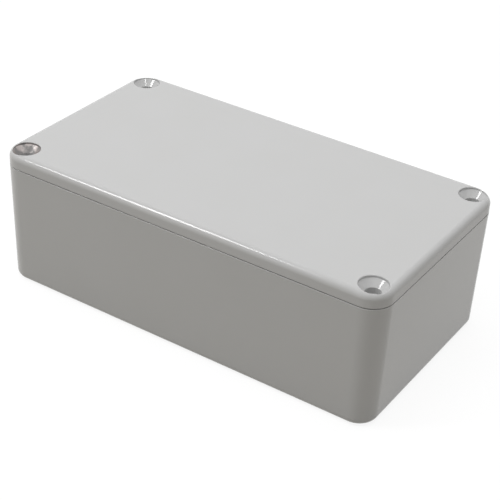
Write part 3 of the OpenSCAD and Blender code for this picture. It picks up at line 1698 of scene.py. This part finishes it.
@dataclass(frozen=True)
class Viewpoint:
    """The camera's place and lens."""

    azimuth: float = 32.02
    elevation: float = 32.31
    roll: float = 3.09
    distance: float = 353.5 * MM
    # The camera aims this far beside and above the box's middle
    aim_right: float = 1.67 * MM
    aim_up: float = -3.95 * MM
    lens: float = 97.65
    sensor: float = 36.0
    nearest: float = 0.01
    farthest: float = 20.0

    def build(self, middle: Vector) -> bpy.types.Object:
        """Makes the scene's camera, aimed near a point.

        Args:
            middle: The middle of the object's box.

        Returns:
            The camera.
        """
        back = direction(self.azimuth, self.elevation)
        level = Vector((0, 0, 1)).cross(back).normalized()
        up = back.cross(level)
        roll = math.radians(self.roll)
        right = level * math.cos(roll) + up * math.sin(roll)
        above = up * math.cos(roll) - level * math.sin(roll)
        data = bpy.data.cameras.new("studio_camera")
        data.lens, data.sensor_width = self.lens, self.sensor
        data.clip_start, data.clip_end = self.nearest, self.farthest
        camera = bpy.data.objects.new("studio_camera", data)
        bpy.context.scene.collection.objects.link(camera)
        place = middle + right * self.aim_right + above * self.aim_up + back * self.distance
        turned = Matrix((right, above, back)).transposed()
        camera.matrix_world = Matrix.Translation(place) @ turned.to_4x4()
        bpy.context.scene.camera = camera
        return camera


@dataclass(frozen=True)
class Studio:
    """A plain pale floor in soft light, with lamps that draw the edges."""

    floor_half: float = 4.0
    # The floor lies this far under the box, so that no two faces share a plane
    floor_drop: float = 0.02 * MM
    # The floor as the camera and mirrors see it: paper that is all but white
    floor_glow: float = 0.88
    floor_shade: str = "#6e6e6e"
    # The floor as it lights the object: a warm grey
    floor_bounce: str = "#a39e93"
    # The room's own light on the object
    room_level: float = 0.28

    def lamps(self) -> list[Lamp]:
        """Lists the lamps.

        Returns:
            The lamps, with the large soft ones first.
        """
        # The softboxes light the lid and the walls; only the small lamps mirror in the enamel
        return [
            Lamp("overhead_softbox", -30.0, 78.0, 1.6, 1.5, 1.2, 9.0, mirrored=False),
            Lamp("rear_softbox", -165.0, 68.0, 1.6, 1.5, 1.2, 7.6, mirrored=False),
            Lamp("left_lamp", -50.0, 48.0, 0.9, 0.2, 0.25, 2.0),
            Lamp("near_lamp", 57.0, 72.5, 0.38, 0.06, 0.06, 0.11),
        ]

    def seen(self, tree: bpy.types.NodeTree) -> bpy.types.NodeSocket:
        """Adds what tells rays from the camera, mirrors and glass from the rest.

        Args:
            tree: The material's or the world's tree.

        Returns:
            A value of one for those rays and nought for the rest.
        """
        path = add_node(tree, "ShaderNodeLightPath")
        mirror = add_node(
            tree,
            "ShaderNodeMath",
            {0: path.outputs["Is Camera Ray"], 1: path.outputs["Is Glossy Ray"]},
            operation="MAXIMUM",
        )
        glass = add_node(
            tree,
            "ShaderNodeMath",
            {0: mirror.outputs[0], 1: path.outputs["Is Transmission Ray"]},
            operation="MAXIMUM",
        )
        return glass.outputs[0]

    def floor(self, height: float) -> bpy.types.Object:
        """Makes the floor just under the box.

        Args:
            height: The height of the box's underside.

        Returns:
            The floor.
        """
        half = self.floor_half
        mesh = bpy.data.meshes.new("studio_floor")
        corners = [(-half, -half), (half, -half), (half, half), (-half, half)]
        mesh.from_pydata([(x, y, height - self.floor_drop) for x, y in corners], [], [[0, 1, 2, 3]])
        material, tree = open_material("pale_paper_floor")
        bounce = add_node(tree, "ShaderNodeBsdfDiffuse", {"Color": linear(self.floor_bounce)})
        shade = add_node(tree, "ShaderNodeBsdfDiffuse", {"Color": linear(self.floor_shade)})
        glow = add_node(tree, "ShaderNodeEmission", {"Strength": self.floor_glow})
        paper = add_node(
            tree, "ShaderNodeAddShader", {0: shade.outputs[0], 1: glow.outputs[0]}
        )
        both = add_node(
            tree,
            "ShaderNodeMixShader",
            {0: self.seen(tree), 1: bounce.outputs[0], 2: paper.outputs[0]},
        )
        add_node(tree, "ShaderNodeOutputMaterial", {"Surface": both.outputs[0]})
        mesh.materials.append(material)
        made = new_object("studio_floor", mesh)
        made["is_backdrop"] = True
        return made

    def world(self) -> bpy.types.World:
        """Makes the room: white to the eye, and a soft even light on the object.

        Returns:
            The room.
        """
        world = bpy.data.worlds.new("studio_room")
        world.use_nodes = True
        tree = world.node_tree
        tree.nodes.clear()
        level = (self.room_level,) * 3 + (1.0,)
        light = add_node(tree, "ShaderNodeBackground", {"Color": level, "Strength": 1.0})
        white = add_node(
            tree, "ShaderNodeBackground", {"Color": (1.0, 1.0, 1.0, 1.0), "Strength": 1.0}
        )
        both = add_node(
            tree,
            "ShaderNodeMixShader",
            {0: self.seen(tree), 1: light.outputs[0], 2: white.outputs[0]},
        )
        add_node(tree, "ShaderNodeOutputWorld", {"Surface": both.outputs[0]})
        bpy.context.scene.world = world
        return world

    def build(self, low: Vector, high: Vector) -> None:
        """Makes the floor, the room, the lamps and the camera round the object's box.

        Args:
            low: The box's lowest corner.
            high: Its highest corner.
        """
        middle = (low + high) / 2
        self.floor(low.z)
        self.world()
        for lamp in self.lamps():
            lamp.build(Vector((middle.x, middle.y, high.z)))
        Viewpoint().build(middle)
        bpy.context.scene.view_settings.view_transform = "Standard"


def main() -> None:
    """Builds the box's castings and the studio round them."""
    logging.basicConfig(level=logging.INFO, format="%(name)s: %(message)s")
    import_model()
    low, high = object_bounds()
    envelope = Envelope.from_frame()
    makers: dict[str, Callable[[], bpy.types.NodeTree]] = {
        "sweep": swept_casting_tree,
        "hole": threaded_hole_tree,
        "corners": four_corners_tree,
        "ribs": side_ribs_tree,
    }
    trees = {name: maker() for name, maker in makers.items()}
    enamel = BakedEnamel().build()
    BaseCasting(envelope).build(trees, enamel, TappedAluminium().build())
    LidCasting(envelope).build(trees, enamel, ScuffedSeat().build())
    Studio().build(low, high)


if __name__ == "__main__":
    main()
